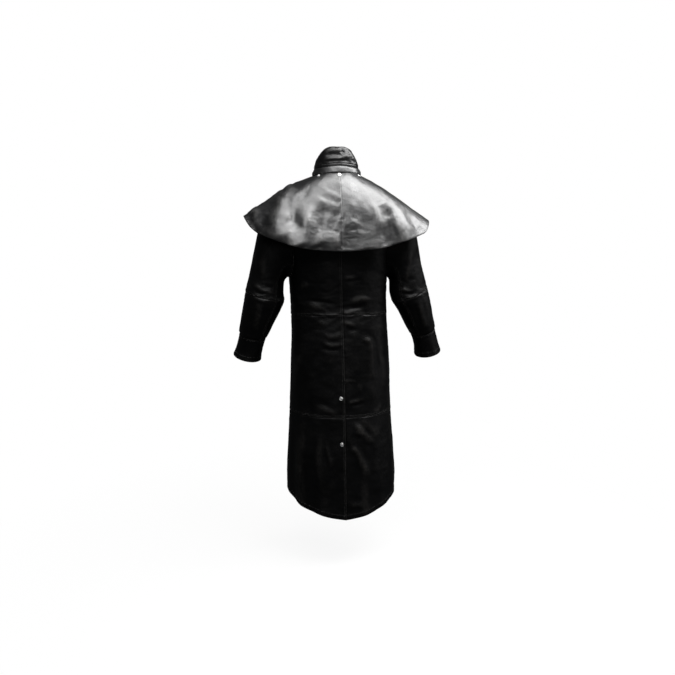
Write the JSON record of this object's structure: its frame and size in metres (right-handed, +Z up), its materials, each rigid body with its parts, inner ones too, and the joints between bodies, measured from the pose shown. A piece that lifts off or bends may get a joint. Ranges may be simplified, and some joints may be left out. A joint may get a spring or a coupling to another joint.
{
  "type": "leather duster coat",
  "caption": "Full-length black leather duster coat worn hollow: stand-up collar, snapped-on shoulder cape, pieced body and sleeves, turned cuffs, closed snap front and back vent.",
  "frame": {"origin": "middle of the neck opening at shoulder level, where the wearer's neck and shoulders hold the coat", "axes": "+Z up along the coat, +Y out of its back, +X to the wearer's left"},
  "size_m": [0.8344, 0.386, 1.4277],
  "materials": {
    "black_leather": "smooth black cowhide, semi-gloss",
    "cape_leather": "smooth black cowhide, polished, with a broad grey sheen",
    "snap_metal": "nickel-plated snap caps"
  },
  "bodies": {
    "root": {"back_lower_left": "black_leather", "back_lower_right": "black_leather", "back_middle_left": "black_leather", "back_middle_right": "black_leather", "back_upper_left": "black_leather", "back_upper_right": "black_leather", "cape_back_left": "cape_leather", "cape_back_right": "cape_leather", "cape_front_left": "cape_leather", "cape_front_right": "cape_leather", "cape_neckband": "cape_leather", "cape_snap_back": "snap_metal", "cape_snap_front_left": "snap_metal", "cape_snap_front_right": "snap_metal", "cape_snap_left": "snap_metal", "cape_snap_right": "snap_metal", "collar_fall": "black_leather", "collar_stand": "black_leather", "cuff_left": "black_leather", "cuff_right": "black_leather", "front_lower_left": "black_leather", "front_lower_right": "black_leather", "front_middle_left": "black_leather", "front_middle_right": "black_leather", "front_placket": "black_leather", "front_snap_1": "snap_metal", "front_snap_2": "snap_metal", "front_snap_3": "snap_metal", "front_snap_4": "snap_metal", "front_snap_5": "snap_metal", "front_snap_6": "snap_metal", "front_upper_left": "black_leather", "front_upper_right": "black_leather", "sleeve_top_lower_left": "black_leather", "sleeve_top_lower_right": "black_leather", "sleeve_top_upper_left": "black_leather", "sleeve_top_upper_right": "black_leather", "sleeve_under_lower_left": "black_leather", "sleeve_under_lower_right": "black_leather", "sleeve_under_upper_left": "black_leather", "sleeve_under_upper_right": "black_leather", "vent_snap_1": "snap_metal", "vent_snap_2": "snap_metal", "vent_underlap": "black_leather"}
  },
  "joints": []
}
